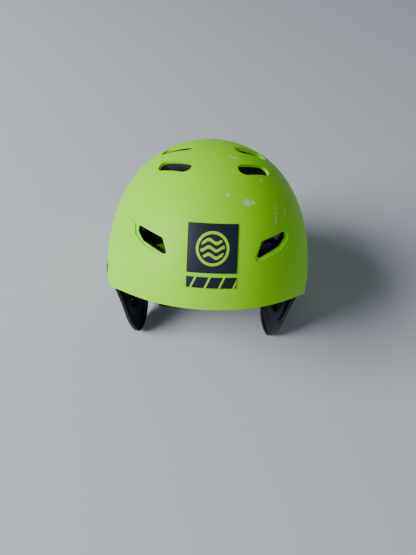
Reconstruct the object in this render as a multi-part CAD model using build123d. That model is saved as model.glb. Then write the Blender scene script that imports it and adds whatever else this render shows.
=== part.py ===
from build123d import *
import math
import os

# Water helmet, in millimetres. It is drawn upright (x to the wearer's left, y to the back, z up,
# z = 0 at the widest level) and then tipped back to stand on its ear guards and rear rim.

# shell
half_width = 112.0
half_length = 130.0
dome_height = 140.0
centre_back = 6.5
shell_wall = 3.0
fullness = 1.023
side_arc = 1.15
skirt_arc = 260.0
rest_tilt = 36.0

# layers under the shell, measured in from the outer surface
liner_outer = 3.3
liner_inner = 16.0
pad_outer = 16.3
pad_inner = 26.0

# rim height at stations from the brow to the nape
rim_line = [(-150, -4.5), (-110, -4.5), (-85, -5), (-60, -9), (-30, -17), (0, -20), (40, -20.5), (75, -20),
            (105, -19), (150, -17.3)]
liner_step = 4.0

# vents
slot_length = 37.0
slot_width = 13.5
front_slots = (37.5, -62.0, 34.0)
crown_slots = (36.5, -31.0, 24.0)
rear_slots = (35.5, 78.0, -30.0)
liner_lip = 1.2
brow_vent = [(-67, 60.5), (-44, 53.5), (-38.5, 38), (-62, 47.5), (-67.5, 54.5)]
brow_ledge = [(-71.5, 62.5), (-66, 62), (-43, 55), (-35.5, 35.5), (-62, 44.5), (-70.5, 52)]
brow_tail = [(-70, 59.5), (-70.5, 63), (-84, 69)]
ledge_depth = 1.5
arch_width = 44.0
arch_top = 32.0

# badge and stripe
badge_width = 43.5
badge_low = 28.0
badge_high = 69.0
stripe_low = 15.0
stripe_high = 24.5
badge_thickness = 0.5

# ear guards
guard_wall = 2.4
bead_width = 3.0
bead_extra = 1.3
ring_thickness = 4.6
tab_top = 10.0
tab_clearance = 0.4
# level, half-width at the middle, toe-in and bulge of each section across a guard
guard_sections = [(14, 107.3, 0.095, 0.0035), (-4, 107.4, 0.095, 0.0035), (-16, 106.4, 0.10, 0.0036),
                  (-36, 99.0, 0.19, 0.005), (-60, 91.8, 0.29, 0.007), (-80, 87.6, 0.29, 0.0078),
                  (-100, 84.4, 0.28, 0.008)]
guard_edge = [(-18, -14), (-15, -34), (-9, -54), (1, -73), (11, -86), (23, -93.5), (35, -89.5), (45, -79),
              (51, -64), (55, -44), (58, -20)]
guard_centre = 20.0
guard_reach = 52.0

# fasteners
rivet_shank = 2.0
rivet_head = 5.0
rivet_head_height = 1.8
washer_radius = 5.5
washer_thickness = 1.2
rivet_tail = 1.6
anchor_level = -3.0
anchor_stations = (-9.0, 46.0)
lap_gap = 0.2
washer_gap = 1.3
strap_room = 1.4
strap_lean = 1.3

# webbing
yoke_width = 15.0
chin_width = 20.0
webbing_thickness = 1.4
bend_radius = 4.0
divider_x = 68.0
divider_thickness = 2.6
pivot_back = 16.0
pivot_height = 30.0
post_radius = 2.6
post_clearance = 0.08
post_head = 4.5
post_head_thickness = 1.5
eyelet_gap = 0.3

# buckle and chin pad, lengths along the strap
floor_gap = 0.3
buckle_width = 27.0
buckle_height = 7.0
buckle_wall = 1.5
socket_start = -13.0
socket_end = 11.0
cavity_depth = 17.0
mouth_ring = 2.0
buckle_gap = 0.35
tongue_end = 22.0
release_travel = 15.0
prong_pivot_x = 12.4
prong_pivot_y = 8.0
prong_knuckle = 1.8
prong_outline = [(0, 1.6), (3.2, 3.1), (7, 3.4), (10, 4.05), (12, 4.7), (13.5, 4.2), (15.6, 2.0), (15.8, 0.4),
                 (12, 1.4), (4, 0.6), (0, -1.6)]
layer_step = 1.8
glide_start = 39.0
glide_length = 6.0
glide_wall = 1.4
tail_end = 47.5
pad_start = -60.0
pad_length = 43.0
pocket_depth = 5.0
same_body_gap = 0.15

# size adjuster at the nape
housing_inner = 117.0
housing_outer = 126.5
housing_half = 32.0
housing_height = 22.0
tooth_module = 1.0
pinion_teeth = 8
addendum = 0.7
dedendum = 1.0
tooth_half = 0.65
band_height = 14.0
band_thickness = 1.6
band_travel = 5.0
band_straight = 37.2
band_gap = 0.35
dial_level = 12.0
dial_radius = 15.0
dial_height = 8.0
dial_notch = 1.6
shaft_radius = 2.0
running_gap = 0.05
cradle_screw_x = 27.5
cradle_screw_radius = 1.6
cradle_screw_head = 3.0


def dome(inset, floor_level=-60.0):
    """Closed egg-shaped solid, the given distance in from the outer surface."""
    wide = half_width - inset
    high = dome_height - inset
    squash = wide / high
    reach = wide * side_arc
    side_centre = Vector(wide - reach, 0)
    slack = side_arc - fullness
    turn = (slack ** 2 - (side_arc - 1) ** 2) / (2 * (side_arc - 1) - 2 * math.sqrt(2) * slack)
    corner_centre = Vector(turn, turn) * wide
    lean = math.atan2(corner_centre.Y, corner_centre.X - side_centre.X)
    joint = side_centre + Vector(math.cos(lean), math.sin(lean)) * reach
    halfway = side_centre + Vector(math.cos(lean / 2), math.sin(lean / 2)) * reach
    diagonal = Vector(1, 1) * (fullness * wide / math.sqrt(2))
    low = floor_level * squash
    foot = wide - skirt_arc + math.sqrt(skirt_arc ** 2 - low ** 2)
    shin = wide - skirt_arc + math.sqrt(skirt_arc ** 2 - low ** 2 / 4)
    with BuildSketch(Plane.XZ) as profile:
        with BuildLine():
            ThreePointArc((foot, low), (shin, low / 2), (wide, 0))
            ThreePointArc((wide, 0), halfway, joint)
            ThreePointArc(joint, diagonal, (joint.Y, joint.X))
            ThreePointArc((joint.Y, joint.X), (halfway.Y, halfway.X), (0, wide))
            Polyline((0, wide), (0, low), (foot, low))
        make_face()
    body = revolve(profile.sketch, Axis.Z)
    return Pos(0, centre_back, 0) * scale(body, by=(1, (half_length - inset) / wide, 1 / squash))


def wall_x(y, z, inset=0.0):
    """Half-width of the dome at a station, for levels below the widest."""
    wide = half_width - inset
    around = math.sqrt(1 - ((y - centre_back) / (half_length - inset)) ** 2)
    low = z * wide / (dome_height - inset)
    return (wide - skirt_arc + math.sqrt(skirt_arc ** 2 - low ** 2)) * around


def wall_frame(x, y, roll=0.0):
    """Plane touching the dome above the widest level, facing out, its x axis running along the slots."""
    flat = math.hypot(x / half_width, (y - centre_back) / half_length)
    power = math.log(0.5) / math.log(fullness / math.sqrt(2))
    z = dome_height * (1 - flat ** power) ** (1 / power)
    radial = flat ** (power - 2)
    out = Vector(radial * x / half_width ** 2, radial * (y - centre_back) / half_length ** 2,
                 (z / dome_height) ** (power - 1) / dome_height)
    along = Vector(math.cos(math.radians(roll)), math.sin(math.radians(roll)), 0)
    along = along - out * (along.dot(out) / out.dot(out))
    return Plane(origin=(x, y, z), x_dir=along, z_dir=out)


def side_frame(y, z):
    """Plane on the wearer's left wall near the rim, facing out."""
    x = wall_x(y, z)
    out = Vector(x / half_width ** 2, (y - centre_back) / half_length ** 2, 0)
    return Plane(origin=(x, y, z), x_dir=(0, 0, 1), z_dir=out)


def rim_cutter(raise_by=0.0):
    """Everything below the rim line."""
    points = [(y, z + raise_by) for y, z in rim_line]
    with BuildSketch(Plane.YZ) as below:
        with BuildLine():
            Spline(*points)
            Polyline(points[-1], (150, -90), (-150, -90), points[0])
        make_face()
    return extrude(below.sketch, 160, both=True)


def both_sides(shape):
    return [shape, mirror(shape, about=Plane.YZ)]


def ribbon(path, width, thickness, ending):
    """Flat strap along a smooth path of (centre, direction its face looks), then straight on a little."""
    centres = [Vector(*centre) for centre, face in path]
    start = centres[1] - centres[0]
    line = Spline(*centres, tangents=[start, ending])
    steps = 9
    sections = []
    for i in range(steps + 1):
        t = i / steps
        place = t * (len(path) - 1)
        left = min(int(place), len(path) - 2)
        blend = place - left
        face = Vector(*path[left][1]) * (1 - blend) + Vector(*path[left + 1][1]) * blend
        along = line % t
        face = (face - along * face.dot(along)).normalized()
        frame = Plane(origin=line @ t, x_dir=face.cross(along), z_dir=along)
        sections.append(frame * Rectangle(width, thickness))
    return loft(sections, ruled=True)


parts = {}

# shell
outer = dome(0)
shell_inside = dome(shell_wall)
below_rim = rim_cutter()

slot_frames = []
for x, y, roll in (front_slots, crown_slots, rear_slots):
    for side in (1, -1):
        slot_frames.append(wall_frame(side * x, y, side * roll))

vent_cutters = []
liner_vents = []
for frame in slot_frames:
    vent_cutters.append(extrude(frame.offset(-12) * SlotOverall(slot_length, slot_width), 24))
    lip = 2 * liner_lip
    opening = SlotOverall(slot_length - lip, slot_width - lip)
    liner_vents.append(extrude(frame.offset(-30) * opening, 40))

brow_plane = Plane(origin=(0, 0, 0), x_dir=(1, 0, 0), z_dir=(0, -1, 0))


def brow_prism(points, near, far, corner):
    """Prism through the brow on the wearer's right, seen from the front, edges rounded."""
    with BuildSketch(brow_plane.offset(near)) as outline:
        with BuildLine():
            Polyline(*points, close=True)
        make_face()
        if corner > 0:
            fillet(outline.vertices(), corner)
    return extrude(outline.sketch, far - near)


brow_through = both_sides(brow_prism(brow_vent, 40, 150, 2.2))
brow_recess = [s - dome(ledge_depth) for s in both_sides(brow_prism(brow_ledge, 40, 150, 3.0))]
tail_recess = [s - dome(0.9) for s in both_sides(brow_prism(brow_tail, 40, 150, 0))]

with BuildSketch(Plane.XZ) as arch_outline:
    with Locations((0, arch_top - arch_width / 2)):
        Circle(arch_width / 2)
    with Locations((0, arch_top / 2 - arch_width / 4 - 30)):
        Rectangle(arch_width, arch_top - arch_width / 2 + 60)
rear_arch = extrude(arch_outline.sketch, -180)

shell = outer - shell_inside - below_rim
shell = shell - vent_cutters - brow_through - brow_recess - tail_recess - rear_arch

# badge and the stripe under it
badge_film = dome(-badge_thickness) - dome(-0.02)
for name, low, high in (("front_badge", badge_low, badge_high), ("front_stripe", stripe_low, stripe_high)):
    parts[name] = badge_film & Pos(0, -130, (low + high) / 2) * Box(badge_width, 260, high - low)

# foam liner
liner = dome(liner_outer) - dome(liner_inner) - rim_cutter(liner_step)
guard_room = Pos(0, 20, -23) * Box(300, 92, 74)
adjuster_room = Pos(0, 140, -26) * Box(136, 120, 124)
liner = liner - liner_vents - brow_through - guard_room - adjuster_room
parts["foam_liner"] = liner

# comfort pads
pad_layer = dome(pad_outer) - dome(pad_inner)
with BuildSketch(Plane.XZ) as brow_outline:
    with Locations((0, 14)):
        RectangleRounded(136, 26, 10)
parts["brow_pad"] = pad_layer & extrude(brow_outline.sketch, 160)
with BuildSketch(Plane.XY) as crown_outline:
    with Locations((0, 16)):
        Ellipse(30, 40)
parts["crown_pad"] = pad_layer & extrude(crown_outline.sketch, 160)
with BuildSketch(Plane.YZ) as side_outline:
    with Locations((10, 44)):
        RectangleRounded(92, 36, 14)
side_pad = pad_layer & extrude(side_outline.sketch, 160)
parts["left_side_pad"], parts["right_side_pad"] = both_sides(side_pad)

# ear guards
def guard_shell(near, far):
    """Scooped sheet through the guard's sections, between two offsets outwards from its outer face."""
    faces = []
    for level, middle, toe, bulge in guard_sections:
        ends = [middle - toe * s * guard_reach - bulge * guard_reach ** 2 for s in (-1, 1)]
        front = Vector(ends[0], guard_centre - guard_reach)
        back = Vector(ends[1], guard_centre + guard_reach)
        top = Vector(middle, guard_centre)
        with BuildSketch(Plane.XY.offset(level)) as section:
            with BuildLine():
                a = ThreePointArc(front + (far, 0), top + (far, 0), back + (far, 0))
                b = ThreePointArc(front + (near, 0), top + (near, 0), back + (near, 0))
                Line(a @ 0, b @ 0)
                Line(a @ 1, b @ 1)
            make_face()
        faces.append(section.sketch)
    return loft(faces)


def guard_prism(shrink=0.0):
    """The guard's side outline drawn through in x; a shrunk one is wider than the tab above the rim."""
    middle = Vector(guard_centre, -35)
    points = [Vector(*p) + (middle - Vector(*p)).normalized() * shrink for p in guard_edge]
    first, last = points[0], points[-1]
    tab = [(first.X, tab_top), (last.X, tab_top)]
    if shrink > 0:
        front, back = first.X - 30, last.X + 30
        tab = [(front, first.Y), (front, tab_top + 30), (back, tab_top + 30), (back, last.Y)]
    with BuildSketch(Plane.YZ) as outline:
        with BuildLine():
            Spline(*points)
            Polyline(first, *tab, last)
        make_face()
    return extrude(outline.sketch, 140)


# the guard is thickest along its edge below the rim, where a bead runs around its inner face
thick_guard = guard_shell(-guard_wall - bead_extra, 0) & guard_prism()
hollow = guard_shell(-guard_wall - bead_extra - 2, -guard_wall) & guard_prism(bead_width)
guard = thick_guard - hollow
with BuildSketch(Plane.YZ) as hearing:
    for turn in range(6):
        with PolarLocations(7.5, 1, turn * 60):
            Circle(2.6)
hearing_holes = Pos(0, 20, -46) * extrude(hearing.sketch, 140)
guard = guard - hearing_holes

with BuildSketch(Plane.YZ) as ring_outline:
    with Locations((20, -46)):
        Ellipse(24, 23)
        Ellipse(14, 13, mode=Mode.SUBTRACT)
ear_ring = guard_shell(-guard_wall - ring_thickness, -guard_wall - 0.1) & extrude(ring_outline.sketch, 140)

# fasteners through the shell, the guard's tab and the yoke straps
strap_face = shell_wall + tab_clearance + guard_wall + strap_room
strap_seat = strap_face + lap_gap
washer_seat = strap_seat + webbing_thickness + washer_gap
rivets = []
washers = []
bore_cutters = []
anchor_frames = [side_frame(y, anchor_level) for y in anchor_stations]
for frame in anchor_frames:
    dish = extrude(frame.offset(0.05) * Circle(rivet_head), rivet_head_height)
    upset = frame.offset(-washer_seat - washer_thickness - rivet_tail)
    shank = extrude(upset * Circle(rivet_shank), washer_seat + washer_thickness + rivet_tail + 0.5)
    tail = extrude(upset * Circle(rivet_head * 0.75), rivet_tail)
    rivets.append(dish + shank + tail)
    washer = extrude(frame.offset(-washer_seat - washer_thickness) * Circle(washer_radius), washer_thickness)
    bore = extrude(frame.offset(-30) * Circle(rivet_shank + 0.1), 40)
    washers.append(washer - bore)
    bore_cutters.append(bore)
shell = shell - bore_cutters - [mirror(b, about=Plane.YZ) for b in bore_cutters]
guard = guard - bore_cutters
parts["left_ear_guard"], parts["right_ear_guard"] = both_sides(guard)
parts["left_ear_ring"], parts["right_ear_ring"] = both_sides(ear_ring)
parts["outer_shell"] = shell
parts["anchor_rivets"] = Compound(children=[s for r in rivets for s in both_sides(r)])
parts["anchor_washers"] = Compound(children=[s for w in washers for s in both_sides(w)])

# size adjuster: housing inside the nape, two sliding bands driven by the dial's pinion
pitch_radius = tooth_module * pinion_teeth / 2
layer_y = [housing_inner + 2.0 + band_gap + band_thickness * 0.5]
layer_y.append(layer_y[0] + band_thickness + band_gap)
channel_low = layer_y[0] - band_thickness / 2 - band_gap
channel_high = layer_y[1] + band_thickness / 2 + band_gap
middle_y = (channel_low + channel_high) / 2
at_dial = Pos(0, 0, dial_level)


def facing_back(y):
    """Plane across the back of the helmet at the dial, x to the wearer's left and y up."""
    return Plane(origin=(0, y, dial_level), x_dir=(1, 0, 0), z_dir=(0, -1, 0))


def cylinder_y(x, radius, start, end):
    """Round bar along y at dial level."""
    return extrude(facing_back(end) * Pos(x, 0) * Circle(radius), end - start)


housing = Pos(0, (housing_inner + housing_outer) / 2, dial_level) * Box(
    2 * housing_half, housing_outer - housing_inner, housing_height)
housing = fillet(housing.edges().filter_by(Axis.Y), 6)
for side in (1, -1):
    housing = housing + cylinder_y(side * cradle_screw_x, 4.4, housing_outer - 1, housing_outer + 4)
housing = housing & dome(shell_wall + 0.05)
channel = Pos(0, middle_y, dial_level) * Box(200, channel_high - channel_low, band_height + 2 * band_gap)
housing = housing - channel - cylinder_y(0, shaft_radius + running_gap, channel_low, housing_outer + 5)
screw_inner = channel_high + 0.8
cradle_screws = []
for side in (1, -1):
    outside = centre_back + half_length * math.sqrt(1 - ((cradle_screw_x + cradle_screw_head) / half_width) ** 2)
    crown_of_head = outside + 1.6
    x = side * cradle_screw_x
    hole = cylinder_y(x, cradle_screw_radius + 0.02, screw_inner - 0.02, 160)
    seat = cylinder_y(x, cradle_screw_head + 0.05, outside - 0.8, 160)
    housing = housing - hole
    parts["outer_shell"] = parts["outer_shell"] - hole - seat
    screw = cylinder_y(x, cradle_screw_radius, screw_inner, outside)
    cradle_screws.append(screw + cylinder_y(x, cradle_screw_head, outside - 0.75, crown_of_head))
parts["cradle_screws"] = Compound(children=cradle_screws)
parts["cradle_housing"] = housing
with BuildSketch(facing_back(housing_inner - 0.1)) as cradle_outline:
    RectangleRounded(2 * housing_half - 4, housing_height + 4, 8)
parts["cradle_pad"] = extrude(cradle_outline.sketch, 8)


def fit_band(layer, up):
    """Band on the wearer's left; its slot's rack lies above the pinion, or below for up = -1."""
    with BuildSketch(Plane.XY.offset(dial_level - band_height / 2)) as plan:
        with BuildLine():
            Line((-9, layer), (band_straight, layer))
            Spline((band_straight, layer), (50, 106.5), (63, 87), (76, 65.5), (84, 49), (90, 28),
                   tangents=[(1, 0), (0.25, -1)])
        trace(line_width=band_thickness)
    band = extrude(plan.sketch, band_height)
    with BuildSketch(facing_back(layer + 1)) as slot:
        left = -pitch_radius - addendum - 0.7
        right = -left + band_travel
        top = pitch_radius + dedendum
        bottom = -pitch_radius - addendum - 0.5
        with BuildLine():
            Polyline((left, up * top), (right, up * top), (right, up * bottom), (left, up * bottom), close=True)
        make_face()
        pitch = math.pi * tooth_module
        slope = math.tan(math.radians(20))
        for number in range(-1, 5):
            x = number * pitch
            root = tooth_half + dedendum * slope
            tip = tooth_half - addendum * slope
            low = pitch_radius - addendum
            if left < x - root and x + root < right:
                with BuildLine():
                    Polyline((x - root, up * top), (x - tip, up * low), (x + tip, up * low),
                             (x + root, up * top), close=True)
                make_face(mode=Mode.SUBTRACT)
    return band - extrude(slot.sketch, 2)


parts["left_fit_band"] = fit_band(layer_y[0], 1)
parts["right_fit_band"] = mirror(fit_band(layer_y[1], -1), about=Plane.YZ)

with BuildSketch(facing_back(channel_high - band_gap)) as gear:
    Circle(pitch_radius - dedendum)
    for number in range(pinion_teeth):
        with BuildLine(Rot(0, 0, (number + 0.5) * 360 / pinion_teeth)):
            Polyline((pitch_radius - dedendum - 0.3, -tooth_half - 0.2), (pitch_radius + addendum, -0.36),
                     (pitch_radius + addendum, 0.36), (pitch_radius - dedendum - 0.3, tooth_half + 0.2),
                     close=True)
        make_face()
    Circle(shaft_radius + 0.02, mode=Mode.SUBTRACT)
parts["dial_pinion"] = extrude(gear.sketch, channel_high - channel_low - 2 * band_gap)
knob = cylinder_y(0, dial_radius, housing_outer + 0.5, housing_outer + 0.5 + dial_height)
knob = fillet(knob.edges().filter_by(GeomType.CIRCLE), 1.2)
for number in range(14):
    angle = math.radians(number * 360 / 14)
    notch = Pos(dial_radius * math.cos(angle), 0, dial_radius * math.sin(angle))
    knob = knob - notch * cylinder_y(0, dial_notch, housing_outer, housing_outer + 2 + dial_height)
parts["dial_knob"] = knob + cylinder_y(0, shaft_radius, channel_low + band_gap, housing_outer + 2)

# tip the helmet back
tilt = Rot(-rest_tilt, 0, 0)
for name in parts:
    parts[name] = tilt * parts[name]
bore_cutters = [tilt * b for b in bore_cutters]
floor_level = parts["left_ear_guard"].bounding_box().min.Z


def tipped(x, y, z):
    a = math.radians(rest_tilt)
    return Vector(x, y * math.cos(a) + z * math.sin(a), z * math.cos(a) - y * math.sin(a))


# dividers: a plate each side inside the guards, with a post that the chin webbing turns on
pivot_z = floor_level + pivot_height
pivot = (pivot_back, pivot_z)
front_lap = (pivot_back - 11, pivot_z + 17)
rear_lap = (pivot_back + 11, pivot_z + 13)
with BuildSketch(Plane.YZ.offset(divider_x)) as plate_outline:
    for centre, radius in ((pivot, 9), (front_lap, 8.5), (rear_lap, 8.5)):
        with Locations(centre):
            Circle(radius)
    make_hull()
divider = extrude(plate_outline.sketch, divider_thickness)
post_length = webbing_thickness + 2 * eyelet_gap
post_disc = Plane.YZ.offset(divider_x - post_length) * Pos(*pivot) * Circle(post_radius)
head_disc = Plane.YZ.offset(divider_x - post_length - post_head_thickness) * Pos(*pivot) * Circle(post_head)
divider = divider + extrude(post_disc, post_length) + extrude(head_disc, post_head_thickness)
parts["left_strap_divider"], parts["right_strap_divider"] = both_sides(divider)

# yoke straps, from the anchors to the dividers
lap_x = divider_x + divider_thickness + lap_gap + webbing_thickness / 2
strap_inset = strap_seat + webbing_thickness / 2
for name, station, lap, swerve in (("front", anchor_stations[0], front_lap, (80, -11, 13)),
                                   ("rear", anchor_stations[1], rear_lap, (82, 7, 3))):
    frame = side_frame(station, anchor_level)
    start = frame.origin - frame.z_dir * strap_inset
    face = tipped(*frame.z_dir)
    middle = Vector(swerve[0], lap[0] + swerve[1], lap[1] + swerve[2])
    end = Vector(lap_x, *lap)
    ending = Vector(0, end.Y - middle.Y, end.Z - middle.Z).normalized()
    below_anchor = start - Vector(0, 0, 10) - frame.z_dir * strap_lean
    path = [(tipped(*(start + Vector(0, 0, 9))), face), (tipped(*below_anchor), face),
            (middle, (1, 0, 0.4)), (end, (1, 0, 0)), (end + ending * 5, (1, 0, 0))]
    strap = ribbon(path, yoke_width, webbing_thickness, ending) - bore_cutters
    parts[f"left_{name}_yoke"], parts[f"right_{name}_yoke"] = both_sides(strap)

# chin loop: webbing runs down from the posts and across under the chin, level with the buckle
level = floor_level + floor_gap + buckle_height / 2
low_level = level - layer_step / 2
high_level = level + layer_step / 2
tab_x = divider_x - post_length / 2


def chin_webbing(side, end, height):
    """Webbing from one post down and across to x = end, side 1 for the wearer's left."""
    corner = side * tab_x
    with BuildSketch(Plane.XZ.offset(-pivot_back - chin_width / 2)) as edge_view:
        with BuildLine():
            FilletPolyline((corner, pivot_z), (corner, height), (end, height), radius=bend_radius)
        trace(line_width=webbing_thickness)
    strap = extrude(edge_view.sketch, chin_width)
    face = corner - webbing_thickness / 2
    strap = strap + extrude(Plane.YZ.offset(face) * Pos(*pivot) * Circle(chin_width / 2), webbing_thickness)
    eyelet = Plane.YZ.offset(face - 2) * Pos(*pivot) * Circle(post_radius + post_clearance)
    return strap - extrude(eyelet, 6)


def bar(start, end, wide, low, high):
    """Block along the strap between two lengths, centred across it."""
    return Pos((start + end) / 2, pivot_back, (low + high) / 2) * Box(end - start, wide, high - low)


half_web = webbing_thickness / 2
half_buckle = buckle_height / 2
parts["right_chin_webbing"] = chin_webbing(-1, socket_start + pocket_depth, level)
parts["left_chin_webbing"] = chin_webbing(1, glide_start - 0.5, low_level)

socket = bar(socket_start, socket_end, buckle_width, level - half_buckle, level + half_buckle)
socket = fillet(socket.edges().filter_by(Axis.Z).group_by(Axis.X)[0], 4)
socket = fillet(socket.edges().filter_by(Axis.X), 1)
cavity_half = half_buckle - buckle_wall
cavity_start = socket_end - cavity_depth
socket = socket - bar(cavity_start, socket_end + 1, buckle_width - 4, level - cavity_half, level + cavity_half)
window_start = cavity_start + 1.5
window_end = socket_end - mouth_ring
socket = socket - bar(window_start, window_end, buckle_width + 2, level - cavity_half, level + cavity_half)
socket = socket - bar(socket_start - 1, socket_start + pocket_depth + same_body_gap,
                      chin_width + 2 * same_body_gap, level - half_web - same_body_gap,
                      level + half_web + same_body_gap)
parts["buckle_socket"] = socket

tongue_start = socket_end + buckle_gap
tongue = bar(tongue_start, tongue_end, buckle_width, level - half_buckle, level + half_buckle)
tongue = fillet(tongue.edges().filter_by(Axis.Z).group_by(Axis.X)[-1], 4)
tongue = fillet(tongue.edges().filter_by(Axis.X), 1)
tongue = tongue + bar(cavity_start + 1.5, tongue_start, 5, level - 1.6, level + 1.6)
prong_half = cavity_half - buckle_gap
for side in (1, -1):
    at_pivot = Pos(prong_pivot_x, pivot_back + side * prong_pivot_y, level - prong_half - buckle_gap)
    room = 2 * (prong_half + buckle_gap)
    tongue = tongue - at_pivot * extrude(Circle(prong_knuckle + post_clearance), room)
    mouth = Pos(-5, side * 0.55) * Rectangle(10, 5.2)
    tongue = tongue - at_pivot * extrude(mouth, room)
tongue = tongue - bar(tongue_end - pocket_depth - same_body_gap, tongue_end + 1, chin_width + 2 * same_body_gap,
                      high_level - half_web - same_body_gap, high_level + half_web + same_body_gap)
parts["buckle_tongue"] = tongue
parts["tongue_webbing"] = bar(tongue_end - pocket_depth, tail_end, chin_width,
                              high_level - half_web, high_level + half_web)


def prong(side):
    """Sprung prong with its knuckle, on one side of the tongue."""
    with BuildSketch(Plane.XY) as outline:
        with BuildLine():
            Polyline(*[(-d, side * w) for d, w in prong_outline], close=True)
        make_face()
        Circle(prong_knuckle)
    place = Pos(prong_pivot_x, pivot_back + side * prong_pivot_y, level - prong_half)
    return place * extrude(outline.sketch, 2 * prong_half)


parts["front_prong"] = prong(-1)
parts["rear_prong"] = prong(1)

glide_low = low_level - half_web - same_body_gap
glide_high = high_level + half_web + band_gap
glide = bar(glide_start, glide_start + glide_length, chin_width + 4.5, glide_low - glide_wall,
            glide_high + glide_wall)
glide = fillet(glide.edges().filter_by(Axis.X), 1)
parts["strap_glide"] = glide - bar(glide_start - 1, glide_start + glide_length + 1, chin_width + 2 * band_gap,
                                   glide_low, glide_high)

sleeve = bar(pad_start, pad_start + pad_length, chin_width + 7, level - half_buckle, level + half_buckle)
sleeve = fillet(sleeve.edges().filter_by(Axis.X), 2.5)
parts["chin_pad"] = sleeve - bar(pad_start - 1, pad_start + pad_length + 1, chin_width + 2 * same_body_gap,
                                 level - half_web - same_body_gap, level + half_web + same_body_gap)

# stand the whole helmet on the floor, centred
boxes = [shape.bounding_box() for shape in parts.values()]
front = min(b.min.Y for b in boxes)
back = max(b.max.Y for b in boxes)
stand = Vector(0, -(front + back) / 2, -min(b.min.Z for b in boxes))
print("stand", [round(v, 4) for v in stand], "floor", round(floor_level, 4))

os.makedirs("parts", exist_ok=True)
for name, shape in parts.items():
    placed = Pos(*stand) * shape
    box = placed.bounding_box()
    solids = len(placed.solids())
    print(name, solids, placed.is_valid, [round(v, 1) for v in (*box.min, *box.max)], round(placed.volume))
    export_step(placed, f"parts/{name}.step")
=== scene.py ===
import math

import bpy
import numpy as np
from mathutils import Matrix, Vector


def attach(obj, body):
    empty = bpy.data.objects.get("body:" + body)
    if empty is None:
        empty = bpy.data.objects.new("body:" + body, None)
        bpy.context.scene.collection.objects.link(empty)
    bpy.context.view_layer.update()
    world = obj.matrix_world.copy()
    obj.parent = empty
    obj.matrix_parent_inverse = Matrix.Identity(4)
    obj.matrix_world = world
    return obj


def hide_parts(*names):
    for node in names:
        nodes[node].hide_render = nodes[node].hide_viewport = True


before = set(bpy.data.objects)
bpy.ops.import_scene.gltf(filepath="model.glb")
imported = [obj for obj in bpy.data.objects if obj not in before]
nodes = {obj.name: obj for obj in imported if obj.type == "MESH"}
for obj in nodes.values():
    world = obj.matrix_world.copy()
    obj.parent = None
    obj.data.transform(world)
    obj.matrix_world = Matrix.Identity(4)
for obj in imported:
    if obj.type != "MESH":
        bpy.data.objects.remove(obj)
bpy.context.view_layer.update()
mm = 0.001

# the helmet stands tipped back; upright, places are measured from its widest level
restTilt = math.radians(36)
standShift = Vector((0, -19.514 * mm, 92.997 * mm))


def toLinear(hexColour):
    parts = [int(hexColour[i:i + 2], 16) / 255 for i in (1, 3, 5)]
    return [c / 12.92 if c <= 0.04045 else ((c + 0.055) / 1.055) ** 2.4 for c in parts] + [1.0]


def addNode(tree, kind, links=None, **settings):
    # one node with its settings, and links given as input name or number: output socket or value
    node = tree.nodes.new(kind)
    for name, value in settings.items():
        setattr(node, name, value)
    for name, source in (links or {}).items():
        if isinstance(source, bpy.types.NodeSocket):
            tree.links.new(source, node.inputs[name])
        else:
            node.inputs[name].default_value = source
    return node


def newMaterial(name):
    material = bpy.data.materials.new(name)
    material.use_nodes = True
    tree = material.node_tree
    shader = tree.nodes["Principled BSDF"]
    return material, tree, shader


def uprightCoords(tree):
    # object coordinates turned back to the helmet standing upright, in metres
    coords = addNode(tree, "ShaderNodeTexCoord")
    turn = Matrix.Rotation(restTilt, 3, "X")
    return addNode(tree, "ShaderNodeMapping", {"Vector": coords.outputs["Object"],
                   "Location": -(turn @ standShift), "Rotation": (restTilt, 0, 0)}).outputs[0]


def deselectAll():
    if bpy.context.object and bpy.context.object.mode != "OBJECT":
        bpy.ops.object.mode_set(mode="OBJECT")
    bpy.ops.object.select_all(action="DESELECT")


def makeActive(piece):
    deselectAll()
    piece.select_set(True)
    bpy.context.view_layer.objects.active = piece


def dressNode(nodeName, material):
    mesh = nodes[nodeName].data
    mesh.materials.clear()
    mesh.materials.append(material)


# moulded ABS in fluorescent lime: satin, with a fine moulding grain, faint cloudiness, rubbed edges
# and a few pale scuffs where the crown has been knocked
# the glow entry is painted light: a faint glow in the shell's own colour that brightens it without a lamp
shellLook = {"base": "#A8FF00", "deep": "#94F600", "scuff": "#D9EFC0", "roughness": 0.44, "smoother": 0.05,
             "rougher": 0.10, "specular": 0.2, "glow": 0.06, "cloudMm": 60, "grainMm": 0.55, "grainBump": 0.035,
             "grainDeepM": 0.0004, "raggedMm": 5.0, "wanderMm": 3.125, "frayMm": 1.1111, "frayFrom": 0.12,
             "frayTo": 0.26, "scuffMost": 0.85, "hairMm": 8.3333, "hairFrom": 0.66, "hairTo": 0.74, "hairMost": 0.10}
# places of the scuffs on the upright helmet in mm, with their size and how strongly they show
scuffs = [(29, -94, 86, 5.6, 1.0), (34.5, -91.5, 86, 3.6, 0.85), (11.5, -94.5, 92, 3.2, 0.85),
          (26, -90, 90, 2.6, 0.6), (16, -57, 123.5, 3.8, 0.85), (20, -57, 122.5, 3.0, 0.75),
          (-1, -58, 124.5, 2.8, 0.6), (43.5, -69.5, 104.5, 3.6, 0.85), (46, -66, 105, 2.6, 0.6),
          (-28, -96, 84, 3.2, 0.55), (-59, -62, 98, 3.0, 0.5), (57.5, -88, 69, 3.0, 0.9),
          (57.5, -86, 72.5, 2.8, 0.85), (57.5, -84, 76, 2.8, 0.85), (57, -80, 80.5, 2.4, 0.8),
          (57, -76, 85, 2.2, 0.6), (67.5, -75, 74, 2.8, 0.8), (67, -72, 78, 2.6, 0.7)]


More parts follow.
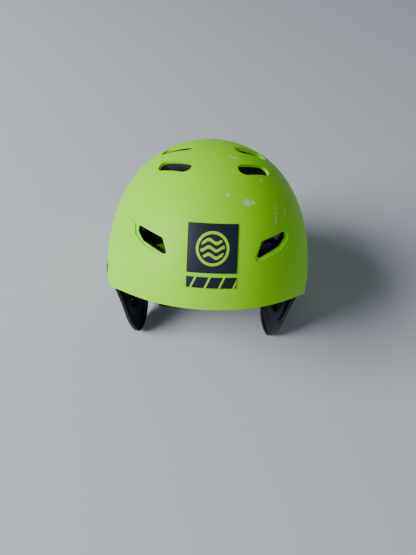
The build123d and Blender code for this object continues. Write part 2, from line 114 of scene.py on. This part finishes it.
def shellMaterial():
    material, tree, shader = newMaterial("mouldedLimeAbs")
    upright = uprightCoords(tree)
    cloud = addNode(tree, "ShaderNodeTexNoise", {"Vector": upright, "Scale": 1 / (shellLook["cloudMm"] * mm),
                    "Detail": 3.0, "Roughness": 0.5})
    colour = addNode(tree, "ShaderNodeMix", {"Factor": cloud.outputs["Fac"], "A": toLinear(shellLook["base"]),
                     "B": toLinear(shellLook["deep"])}, data_type="RGBA")
    ragged = addNode(tree, "ShaderNodeTexNoise", {"Vector": upright, "Scale": 1 / (shellLook["frayMm"] * mm),
                     "Detail": 4.0, "Roughness": 0.75})
    wander = addNode(tree, "ShaderNodeTexNoise", {"Vector": upright,
                     "Scale": 1 / (shellLook["wanderMm"] * mm), "Detail": 3.0})
    centred = addNode(tree, "ShaderNodeVectorMath", {0: wander.outputs["Color"], 1: (0.5, 0.5, 0.5)},
                      operation="SUBTRACT")
    pushed = addNode(tree, "ShaderNodeVectorMath", {0: centred.outputs[0], 1: (shellLook["raggedMm"] * mm,) * 3,
                     2: upright}, operation="MULTIPLY_ADD")
    wear = None
    for x, y, z, size, strength in scuffs:
        reach = addNode(tree, "ShaderNodeVectorMath", {0: pushed.outputs[0], 1: (x * mm, y * mm, z * mm)},
                        operation="DISTANCE")
        fade = addNode(tree, "ShaderNodeMapRange", {"Value": reach.outputs["Value"], "From Min": 0.0,
                       "From Max": size * mm, "To Min": strength, "To Max": 0.0})
        if wear is None:
            wear = fade.outputs[0]
        else:
            wear = addNode(tree, "ShaderNodeMath", {0: wear, 1: fade.outputs[0]}, operation="MAXIMUM").outputs[0]
    broken = addNode(tree, "ShaderNodeMath", {0: wear, 1: ragged.outputs["Fac"]}, operation="MULTIPLY")
    chip = addNode(tree, "ShaderNodeMapRange", {"Value": broken.outputs[0], "From Min": shellLook["frayFrom"],
                   "From Max": shellLook["frayTo"], "To Max": shellLook["scuffMost"]})
    worn = addNode(tree, "ShaderNodeMix", {"Factor": chip.outputs[0], "A": colour.outputs["Result"],
                   "B": toLinear(shellLook["scuff"])}, data_type="RGBA")
    hair = addNode(tree, "ShaderNodeTexNoise", {"Vector": upright, "Scale": 1 / (shellLook["hairMm"] * mm),
                   "Detail": 6.0, "Roughness": 0.8, "Distortion": 2.5})
    hairLine = addNode(tree, "ShaderNodeMapRange", {"Value": hair.outputs["Fac"], "From Min": shellLook["hairFrom"],
                       "From Max": shellLook["hairTo"], "To Max": shellLook["hairMost"]})
    scratched = addNode(tree, "ShaderNodeMix", {"Factor": hairLine.outputs[0], "A": worn.outputs["Result"],
                        "B": toLinear(shellLook["scuff"])}, data_type="RGBA")
    grain = addNode(tree, "ShaderNodeTexNoise", {"Vector": upright, "Scale": 1 / (shellLook["grainMm"] * mm),
                    "Detail": 2.0})
    height = addNode(tree, "ShaderNodeMath", {0: grain.outputs["Fac"], 1: chip.outputs[0]}, operation="SUBTRACT")
    bump = addNode(tree, "ShaderNodeBump", {"Height": height.outputs[0], "Strength": shellLook["grainBump"],
                   "Distance": shellLook["grainDeepM"]})
    dull = addNode(tree, "ShaderNodeMapRange", {"Value": cloud.outputs["Fac"],
                   "To Min": shellLook["roughness"] - shellLook["smoother"],
                   "To Max": shellLook["roughness"] + shellLook["rougher"]})
    tree.links.new(scratched.outputs["Result"], shader.inputs["Base Color"])
    tree.links.new(dull.outputs[0], shader.inputs["Roughness"])
    tree.links.new(bump.outputs[0], shader.inputs["Normal"])
    # painted light: the shell colour is also fed in as emission, a faint glow that brightens the lime as no lamp
    # does
    tree.links.new(scratched.outputs["Result"], shader.inputs["Emission Color"])
    shader.inputs["Emission Strength"].default_value = shellLook["glow"]
    shader.inputs["Specular IOR Level"].default_value = shellLook["specular"]
    return material


# printed vinyl film: dark and flat against the satin shell, with a finely pebbled print; it carries a lime
# ring round three waves, and slanted dashes on the stripe below
badgeLook = {"film": "#0A1A28", "worn": "#10243A", "ink": "#B4F500", "middleMm": 48.5, "ringMm": 13.2,
             "ringWideMm": 2.3, "ringGapMm": 2.9, "waveMm": 13.0, "waveHighMm": 1.5, "barMm": 1.35,
             "spacingMm": 6.0, "stripeTopMm": 26.0, "dashMm": 6.2, "dashGapMm": 0.9, "slant": 0.45,
             "pebbleMm": 0.4, "glossiest": 0.38, "dullest": 0.52, "bump": 0.05, "bumpDeepM": 0.0003}


def badgeMaterial():
    material, tree, shader = newMaterial("printedNavyFilm")
    upright = uprightCoords(tree)
    split = addNode(tree, "ShaderNodeSeparateXYZ", {0: upright})
    across, up = split.outputs["X"], split.outputs["Z"]
    high = addNode(tree, "ShaderNodeMath", {0: up, 1: badgeLook["middleMm"] * mm}, operation="SUBTRACT").outputs[0]
    flat = addNode(tree, "ShaderNodeCombineXYZ", {"X": across, "Y": high})
    reach = addNode(tree, "ShaderNodeVectorMath", {0: flat.outputs[0]}, operation="LENGTH").outputs["Value"]
    ring = addNode(tree, "ShaderNodeMath", {0: reach, 1: badgeLook["ringMm"] * mm,
                   2: badgeLook["ringWideMm"] / 2 * mm}, operation="COMPARE").outputs[0]
    swing = addNode(tree, "ShaderNodeMath", {0: across, 1: 2 * math.pi / (badgeLook["waveMm"] * mm)},
                    operation="MULTIPLY")
    sine = addNode(tree, "ShaderNodeMath", {0: swing.outputs[0]}, operation="SINE")
    lift = addNode(tree, "ShaderNodeMath", {0: sine.outputs[0], 1: badgeLook["waveHighMm"] * mm, 2: high},
                   operation="MULTIPLY_ADD").outputs[0]
    bars = None
    for step in (-1, 0, 1):
        bar = addNode(tree, "ShaderNodeMath", {0: lift, 1: step * badgeLook["spacingMm"] * mm,
                      2: badgeLook["barMm"] * mm}, operation="COMPARE").outputs[0]
        bars = bar if bars is None else addNode(tree, "ShaderNodeMath", {0: bars, 1: bar},
                                                operation="MAXIMUM").outputs[0]
    inside = addNode(tree, "ShaderNodeMath", {0: reach, 1: (badgeLook["ringMm"] - badgeLook["ringGapMm"]) * mm},
                     operation="LESS_THAN").outputs[0]
    waves = addNode(tree, "ShaderNodeMath", {0: bars, 1: inside}, operation="MULTIPLY").outputs[0]
    emblem = addNode(tree, "ShaderNodeMath", {0: ring, 1: waves}, operation="MAXIMUM").outputs[0]
    leaning = addNode(tree, "ShaderNodeMath", {0: up, 1: -badgeLook["slant"], 2: across},
                      operation="MULTIPLY_ADD").outputs[0]
    dashes = addNode(tree, "ShaderNodeMath", {0: leaning, 1: badgeLook["dashMm"] * mm}, operation="PINGPONG")
    gaps = addNode(tree, "ShaderNodeMath", {0: dashes.outputs[0], 1: badgeLook["dashGapMm"] * mm},
                   operation="LESS_THAN").outputs[0]
    onStripe = addNode(tree, "ShaderNodeMath", {0: up, 1: badgeLook["stripeTopMm"] * mm},
                       operation="LESS_THAN").outputs[0]
    stripe = addNode(tree, "ShaderNodeMath", {0: gaps, 1: onStripe}, operation="MULTIPLY").outputs[0]
    device = addNode(tree, "ShaderNodeMath", {0: emblem, 1: stripe}, operation="MAXIMUM").outputs[0]
    grain = addNode(tree, "ShaderNodeTexNoise", {"Vector": upright,
                    "Scale": 1 / (badgeLook["pebbleMm"] * mm), "Detail": 3.0})
    film = addNode(tree, "ShaderNodeMix", {"Factor": grain.outputs["Fac"], "A": toLinear(badgeLook["film"]),
                   "B": toLinear(badgeLook["worn"])}, data_type="RGBA")
    printed = addNode(tree, "ShaderNodeMix", {"Factor": device, "A": film.outputs["Result"],
                      "B": toLinear(badgeLook["ink"])}, data_type="RGBA")
    rough = addNode(tree, "ShaderNodeMapRange", {"Value": grain.outputs["Fac"],
                    "To Min": badgeLook["glossiest"], "To Max": badgeLook["dullest"]})
    bump = addNode(tree, "ShaderNodeBump", {"Height": grain.outputs["Fac"], "Strength": badgeLook["bump"],
                   "Distance": badgeLook["bumpDeepM"]})
    tree.links.new(printed.outputs["Result"], shader.inputs["Base Color"])
    tree.links.new(rough.outputs[0], shader.inputs["Roughness"])
    tree.links.new(bump.outputs[0], shader.inputs["Normal"])
    return material


mouldedLook = {"mottleMm": 11.111, "mottleFrom": 0.35, "mottleTo": 0.75, "smoother": 0.07, "rougher": 0.10,
               "grainDeepM": 0.0004}


def mouldedMaterial(name, tone, lighter, roughness, grainMm, bumpStrength, metallic=0.0):
    # a base tone with slight mottling, an even fine grain, and gloss that wanders a little
    material, tree, shader = newMaterial(name)
    upright = uprightCoords(tree)
    mottle = addNode(tree, "ShaderNodeTexNoise", {"Vector": upright,
                     "Scale": 1 / (mouldedLook["mottleMm"] * mm), "Detail": 4.0})
    grain = addNode(tree, "ShaderNodeTexNoise", {"Vector": upright, "Scale": 1 / (grainMm * mm), "Detail": 2.0})
    spread = addNode(tree, "ShaderNodeMapRange", {"Value": mottle.outputs["Fac"],
                     "From Min": mouldedLook["mottleFrom"], "From Max": mouldedLook["mottleTo"]})
    colour = addNode(tree, "ShaderNodeMix", {"Factor": spread.outputs[0], "A": toLinear(tone),
                     "B": toLinear(lighter)}, data_type="RGBA")
    rough = addNode(tree, "ShaderNodeMapRange", {"Value": mottle.outputs["Fac"],
                    "To Min": roughness - mouldedLook["smoother"], "To Max": roughness + mouldedLook["rougher"]})
    bump = addNode(tree, "ShaderNodeBump", {"Height": grain.outputs["Fac"], "Strength": bumpStrength,
                   "Distance": mouldedLook["grainDeepM"]})
    tree.links.new(colour.outputs["Result"], shader.inputs["Base Color"])
    tree.links.new(rough.outputs[0], shader.inputs["Roughness"])
    tree.links.new(bump.outputs[0], shader.inputs["Normal"])
    shader.inputs["Metallic"].default_value = metallic
    return material


wovenLook = {"fuzzMm": 0.7143, "glossiest": 0.75, "dullest": 0.95, "bump": 0.5, "bumpDeepM": 0.0003}


def wovenMaterial(name, tone, lighter, threadMm, sheen):
    # plain weave from two crossed sets of threads, drawn a little coarse so they show, with fuzz between them
    material, tree, shader = newMaterial(name)
    upright = uprightCoords(tree)
    pitch = 2 * math.pi / (threadMm * mm)
    split = addNode(tree, "ShaderNodeSeparateXYZ", {0: upright})
    leanA = addNode(tree, "ShaderNodeMath", {0: split.outputs["X"], 1: split.outputs["Z"]}, operation="ADD")
    leanB = addNode(tree, "ShaderNodeMath", {0: split.outputs["Y"], 1: split.outputs["Z"]}, operation="SUBTRACT")
    crossed = []
    for lean in (leanA, leanB):
        phase = addNode(tree, "ShaderNodeMath", {0: lean.outputs[0], 1: pitch}, operation="MULTIPLY")
        crossed.append(addNode(tree, "ShaderNodeMath", {0: phase.outputs[0]}, operation="SINE").outputs[0])
    weave = addNode(tree, "ShaderNodeMath", {0: crossed[0], 1: crossed[1]}, operation="MULTIPLY")
    level = addNode(tree, "ShaderNodeMapRange", {"Value": weave.outputs[0], "From Min": -1.0})
    fuzz = addNode(tree, "ShaderNodeTexNoise", {"Vector": upright,
                   "Scale": 1 / (wovenLook["fuzzMm"] * mm), "Detail": 4.0})
    tint = addNode(tree, "ShaderNodeMath", {0: level.outputs[0], 1: fuzz.outputs["Fac"]}, operation="MULTIPLY")
    colour = addNode(tree, "ShaderNodeMix", {"Factor": tint.outputs[0], "A": toLinear(tone),
                     "B": toLinear(lighter)}, data_type="RGBA")
    rough = addNode(tree, "ShaderNodeMapRange", {"Value": fuzz.outputs["Fac"],
                    "To Min": wovenLook["glossiest"], "To Max": wovenLook["dullest"]})
    bump = addNode(tree, "ShaderNodeBump", {"Height": level.outputs[0], "Strength": wovenLook["bump"],
                   "Distance": wovenLook["bumpDeepM"]})
    tree.links.new(colour.outputs["Result"], shader.inputs["Base Color"])
    tree.links.new(rough.outputs[0], shader.inputs["Roughness"])
    tree.links.new(bump.outputs[0], shader.inputs["Normal"])
    shader.inputs["Sheen Weight"].default_value = sheen
    return material


foamLook = {"blotchMm": 16.667, "glossiest": 0.78, "dullest": 0.95, "bump": 0.35, "bumpDeepM": 0.0004}


def foamMaterial(name, tone, lighter, cellMm):
    # closed-cell foam: fine round cells with paler walls
    material, tree, shader = newMaterial(name)
    upright = uprightCoords(tree)
    cells = addNode(tree, "ShaderNodeTexVoronoi", {"Vector": upright, "Scale": 1 / (cellMm * mm)})
    blotch = addNode(tree, "ShaderNodeTexNoise", {"Vector": upright,
                     "Scale": 1 / (foamLook["blotchMm"] * mm), "Detail": 3.0})
    tint = addNode(tree, "ShaderNodeMath", {0: cells.outputs["Distance"], 1: blotch.outputs["Fac"]},
                   operation="MULTIPLY")
    colour = addNode(tree, "ShaderNodeMix", {"Factor": tint.outputs[0], "A": toLinear(tone),
                     "B": toLinear(lighter)}, data_type="RGBA")
    rough = addNode(tree, "ShaderNodeMapRange", {"Value": blotch.outputs["Fac"],
                    "To Min": foamLook["glossiest"], "To Max": foamLook["dullest"]})
    bump = addNode(tree, "ShaderNodeBump", {"Height": cells.outputs["Distance"],
                   "Strength": foamLook["bump"], "Distance": foamLook["bumpDeepM"]})
    tree.links.new(colour.outputs["Result"], shader.inputs["Base Color"])
    tree.links.new(rough.outputs[0], shader.inputs["Roughness"])
    tree.links.new(bump.outputs[0], shader.inputs["Normal"])
    return material


limeAbs = shellMaterial()
navyFilm = badgeMaterial()
# moulded polypropylene, semi-gloss: its rolled edge catches a thin line of light
guardPlastic = mouldedMaterial("glossBlackPolypropylene", "#0C0D0F", "#17191C", 0.32, 0.6, 0.06)
# spark-eroded mould surface: an even dull grain that hides finger marks
fittingPlastic = mouldedMaterial("grainedBlackAcetal", "#131416", "#1E2023", 0.45, 0.5, 0.12)
# thin nylon strip: a shade greyer and slightly waxy
bandNylon = mouldedMaterial("greyNylonBand", "#232528", "#33363A", 0.5, 0.5, 0.1)
# soft-touch coat: nearly no gloss
dialRubber = mouldedMaterial("softTouchRubber", "#101113", "#1C1D20", 0.7, 0.45, 0.2)
# turned and tumbled steel: bright, with a soft blur
rivetSteel = mouldedMaterial("turnedStainlessSteel", "#A9ACB0", "#C4C7CA", 0.3, 0.4, 0.05, metallic=1.0)
# tight woven strap: visible threads and a little sheen
strapWebbing = wovenMaterial("blackPolyesterWebbing", "#0E0F12", "#2A2C31", 1.1, 0.3)
# brushed lining cloth: fuzzy, with more sheen than the straps
comfortCloth = wovenMaterial("brushedCharcoalPolyester", "#121419", "#2C3038", 1.3, 0.5)
# hot-pressed foam: small closed cells, no gloss
linerFoam = foamMaterial("charcoalEvaFoam", "#101114", "#33363C", 1.1)
ringFoam = foamMaterial("navyFoamRing", "#0F1826", "#27384F", 1.0)
print("materials made")

dressedNodes = [(limeAbs, ["outer_shell"]), (navyFilm, ["front_badge", "front_stripe"]),
                (guardPlastic, ["left_ear_guard", "right_ear_guard"]),
                (rivetSteel, ["anchor_rivets", "anchor_washers", "cradle_screws"]),
                (fittingPlastic, ["left_strap_divider", "right_strap_divider", "buckle_socket", "buckle_tongue",
                                  "front_prong", "rear_prong", "strap_glide", "cradle_housing"]),
                (bandNylon, ["left_fit_band", "right_fit_band", "dial_pinion"]), (dialRubber, ["dial_knob"])]
for material, nodeNames in dressedNodes:
    for nodeName in nodeNames:
        dressNode(nodeName, material)
print("hard parts dressed")


weldM = 0.00002  # points closer than this are one point


def copyNode(nodeName, newName, material):
    # a piece of its own with the CAD solid's shape, its loose triangles joined up
    source = nodes[nodeName]
    mesh = source.data.copy()
    mesh.transform(source.matrix_world)
    piece = bpy.data.objects.new(newName, mesh)
    bpy.context.collection.objects.link(piece)
    mesh.materials.clear()
    mesh.materials.append(material)
    makeActive(piece)
    bpy.ops.object.mode_set(mode="EDIT")
    bpy.ops.mesh.select_all(action="SELECT")
    bpy.ops.mesh.remove_doubles(threshold=weldM)
    bpy.ops.mesh.normals_make_consistent(inside=False)
    bpy.ops.object.mode_set(mode="OBJECT")
    return piece


def pieceName(nodeName, ending=""):
    words = nodeName.split("_")
    return words[0] + "".join(w.capitalize() for w in words[1:]) + ending


def smoothBy(piece, rounds):
    soften = piece.modifiers.new("soften", "SMOOTH")
    soften.factor = 0.5
    soften.iterations = rounds
    applyAll(piece)


def remeshBy(piece, cellMm):
    remesh = piece.modifiers.new("cells", "REMESH")
    remesh.mode = "VOXEL"
    remesh.voxel_size = cellMm * mm
    applyAll(piece)


def applyAll(piece):
    makeActive(piece)
    for modifier in list(piece.modifiers):
        bpy.ops.object.modifier_apply(modifier=modifier.name)


def readPoints(piece):
    points = np.empty(len(piece.data.vertices) * 3)
    piece.data.vertices.foreach_get("co", points)
    return points.reshape(-1, 3)


# pads: stuffed cloth, each blown up a little from its CAD solid; the thin chin pad is only rounded
padLook = {"cellMm": 4.0, "pressure": 4.0, "frames": 20, "fill": 0.7, "rounds": 3, "settleRounds": 8}
thinPadLook = {"cellMm": 1.2, "rounds": 2}
pads = {"brow_pad": ("helmet", 2.5), "crown_pad": ("helmet", 3.0), "left_side_pad": ("helmet", 3.0),
        "right_side_pad": ("helmet", 3.0), "cradle_pad": ("helmet", 1.6), "chin_pad": ("chin_loop", 0.6)}


def blowUp(piece, capMm):
    start = readPoints(piece)
    cloth = piece.modifiers.new("cloth", "CLOTH")
    cloth.settings.use_pressure = True
    cloth.settings.uniform_pressure_force = padLook["pressure"]
    cloth.settings.effector_weights.gravity = 0
    cloth.point_cache.frame_start = 1
    cloth.point_cache.frame_end = padLook["frames"]
    for number in range(1, padLook["frames"] + 1):
        bpy.context.scene.frame_set(number)
    applyAll(piece)
    moved = readPoints(piece) - start
    far = np.linalg.norm(moved, axis=1, keepdims=True)
    moved *= np.minimum(1.0, capMm * mm / np.maximum(far, 1e-9))
    piece.data.vertices.foreach_set("co", (start + moved).ravel())
    piece.data.update()
    bpy.context.scene.frame_set(1)
    smoothBy(piece, padLook["settleRounds"])


for nodeName, (bodyName, capMm) in pads.items():
    piece = copyNode(nodeName, pieceName(nodeName, "Cushion"), comfortCloth)
    thin = nodeName == "chin_pad"
    look = thinPadLook if thin else padLook
    remeshBy(piece, look["cellMm"])
    smoothBy(piece, look["rounds"])
    if not thin:
        blowUp(piece, capMm)
    finer = piece.modifiers.new("finer", "SUBSURF")
    finer.levels = finer.render_levels = 1
    applyAll(piece)
    bpy.ops.object.shade_smooth()
    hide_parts(nodeName)
    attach(piece, bodyName)
print("pads made")

# moulded foam: the liner and the ear rings, with the soft rounded edges of a hot-pressed part
foamParts = {"foam_liner": ("pressedFoamLiner", linerFoam, "liner_foam", 2.4, 3),
             "left_ear_ring": ("leftEarRing", ringFoam, "ring_foam", 1.2, 4),
             "right_ear_ring": ("rightEarRing", ringFoam, "ring_foam", 1.2, 4)}
for nodeName, (foamName, material, slotName, cellMm, rounds) in foamParts.items():
    piece = copyNode(nodeName, foamName, material)
    remeshBy(piece, cellMm)
    smoothBy(piece, rounds)
    bpy.ops.object.shade_smooth()
    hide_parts(nodeName)
    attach(piece, "helmet")
print("foam made")

# webbing: each strap with its folded edges rounded over
strapLook = {"edgeMm": 0.45, "segments": 3, "flatDegrees": 1.5, "cornerDegrees": 50, "shadeDegrees": 35}
straps = {"left_front_yoke": "helmet", "right_front_yoke": "helmet", "left_rear_yoke": "helmet",
          "right_rear_yoke": "helmet", "left_chin_webbing": "chin_loop", "right_chin_webbing": "chin_loop",
          "tongue_webbing": "tongue"}
for nodeName, bodyName in straps.items():
    piece = copyNode(nodeName, pieceName(nodeName, "Strap"), strapWebbing)
    dissolve = piece.modifiers.new("flats", "DECIMATE")
    dissolve.decimate_type = "DISSOLVE"
    dissolve.angle_limit = math.radians(strapLook["flatDegrees"])
    bevel = piece.modifiers.new("edges", "BEVEL")
    bevel.width = strapLook["edgeMm"] * mm
    bevel.segments = strapLook["segments"]
    bevel.limit_method = "ANGLE"
    bevel.angle_limit = math.radians(strapLook["cornerDegrees"])
    applyAll(piece)
    bpy.ops.object.shade_smooth_by_angle(angle=math.radians(strapLook["shadeDegrees"]))
    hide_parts(nodeName)
    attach(piece, bodyName)
print("straps made")

# the floor: plain, pale and matt, a hair below the helmet
floorLook = {"sizeM": 6.0, "dropM": 0.0002, "colour": "#D0D6E4", "roughness": 0.8}
deselectAll()
bpy.ops.mesh.primitive_plane_add(size=floorLook["sizeM"], location=(0, 0, -floorLook["dropM"]))
floor = bpy.context.object
floor.name = "studioFloor"
bpy.ops.object.transform_apply(location=True, rotation=True, scale=True)
floorMaterial, tree, shader = newMaterial("paleStudioFloor")
shader.inputs["Base Color"].default_value = toLinear(floorLook["colour"])
shader.inputs["Roughness"].default_value = floorLook["roughness"]
floor.data.materials.append(floorMaterial)

# soft daylight from a large window to the left, a weak fill and a pale room
aimPoint = Vector((0, 0, 0.1))
roomLook = {"colour": "#DDE3EC", "strength": 0.1}
lights = {"windowLight": ((-2.9, -0.8, 2.1), 1.9, 178.0, (1.0, 0.99, 0.97)),
          "roomFill": ((0.2, -1.6, 2.0), 1.8, 5.0, (0.93, 0.96, 1.0))}
for name, (place, size, power, tint) in lights.items():
    lamp = bpy.data.lights.new(name, "AREA")
    lamp.shape = "SQUARE"
    lamp.size = size
    lamp.energy = power
    lamp.color = tint
    lampObject = bpy.data.objects.new(name, lamp)
    lampObject.location = place
    lampObject.rotation_euler = (aimPoint - Vector(place)).to_track_quat("-Z", "Y").to_euler()
    bpy.context.collection.objects.link(lampObject)
room = bpy.data.worlds.new("paleRoom")
bpy.context.scene.world = room
room.use_nodes = True
background = room.node_tree.nodes["Background"]
background.inputs["Color"].default_value = toLinear(roomLook["colour"])
background.inputs["Strength"].default_value = roomLook["strength"]

# camera: close and steep, held a few degrees off level; the helmet is turned slightly to its left
cameraLook = {"placeMm": (1.51, -300.66, 378.5), "pitch": 53.0, "roll": 4.66, "turn": 3.0, "focalPixels": 420.0,
              "longSide": 555.0, "sensorMm": 36.0, "nearM": 0.01}
pitch = math.radians(cameraLook["pitch"])
roll = math.radians(cameraLook["roll"])
turnBack = Matrix.Rotation(-math.radians(cameraLook["turn"]), 3, "Z")
forward = Vector((0, math.cos(pitch), -math.sin(pitch)))
level = Vector((1, 0, 0))
lift = Vector((0, math.sin(pitch), math.cos(pitch)))
right = turnBack @ (level * math.cos(roll) + lift * math.sin(roll))
up = turnBack @ (lift * math.cos(roll) - level * math.sin(roll))
back = -(turnBack @ forward)
place = turnBack @ (Vector(cameraLook["placeMm"]) * mm) + standShift
cameraData = bpy.data.cameras.new("viewCamera")
cameraData.sensor_width = cameraLook["sensorMm"]
cameraData.lens = cameraLook["focalPixels"] / cameraLook["longSide"] * cameraLook["sensorMm"]
cameraData.clip_start = cameraLook["nearM"]
camera = bpy.data.objects.new("viewCamera", cameraData)
camera.matrix_world = Matrix((right, up, back)).transposed().to_4x4()
camera.location = place
bpy.context.collection.objects.link(camera)
bpy.context.scene.camera = camera
print("scene lit")
